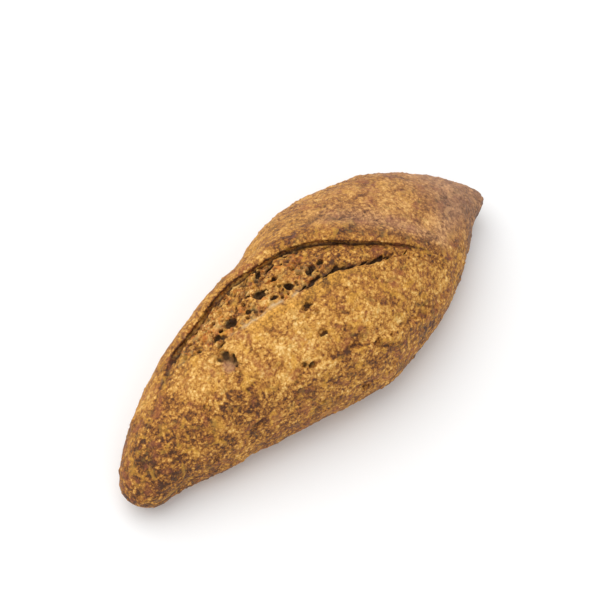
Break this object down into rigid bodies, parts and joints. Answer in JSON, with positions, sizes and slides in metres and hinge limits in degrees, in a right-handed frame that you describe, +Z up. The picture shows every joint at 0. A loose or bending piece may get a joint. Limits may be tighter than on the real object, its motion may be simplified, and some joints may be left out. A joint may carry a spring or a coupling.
{
  "type": "sourdough loaf",
  "caption": "Long oval sourdough loaf, slashed along its top and baked open to a raised ear and torn crumb, with a blistered brown crust and a flat base.",
  "frame": {"origin": "centre of the loaf's box in X and Y, on the plane of its flat base", "axes": "+X runs along the loaf from its blunt end to its slim end, +Y points to the back, where the ear starts, and +Z is up"},
  "size_m": [0.278, 0.1162, 0.0717],
  "materials": {
    "crust": "matte baked crust"
  },
  "bodies": {
    "root": {"sourdough_loaf": "crust"}
  },
  "joints": []
}
